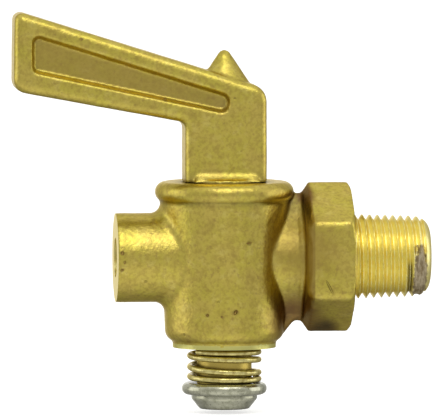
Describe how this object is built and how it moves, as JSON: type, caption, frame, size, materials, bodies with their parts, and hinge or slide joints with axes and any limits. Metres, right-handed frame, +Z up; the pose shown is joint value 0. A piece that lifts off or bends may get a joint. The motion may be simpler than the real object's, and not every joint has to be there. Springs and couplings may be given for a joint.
{
  "type": "drain cock",
  "caption": "Ground-key drain cock: brass body with tapered male pipe thread, hexagon and plain spout, tapered plug turned by a lever, and a spring held under the body by a washer and screw.",
  "frame": {"origin": "centre of the hexagon's shoulder, on the axis of the pipe thread", "axes": "+X out along the pipe thread, +Z up along the plug towards the lever, -X towards the spout and the end of the lever"},
  "size_m": [0.0506, 0.0168, 0.048],
  "materials": {
    "cast_brass": "as cast and tumbled, turned at the thread, mouth and foot",
    "spring_wire": "drawn wire",
    "plated_steel": "dull zinc plate"
  },
  "bodies": {
    "housing": {"body": "cast_brass"},
    "key": {"plug_lever": "cast_brass", "spring": "spring_wire", "washer": "plated_steel", "retaining_screw": "plated_steel"}
  },
  "joints": [
    {"name": "plug_turn", "type": "hinge", "parent": "housing", "child": "key", "pos_m": [-0.01527, 0, 0], "axis": [0, 0, 1], "continuous": true}
  ]
}
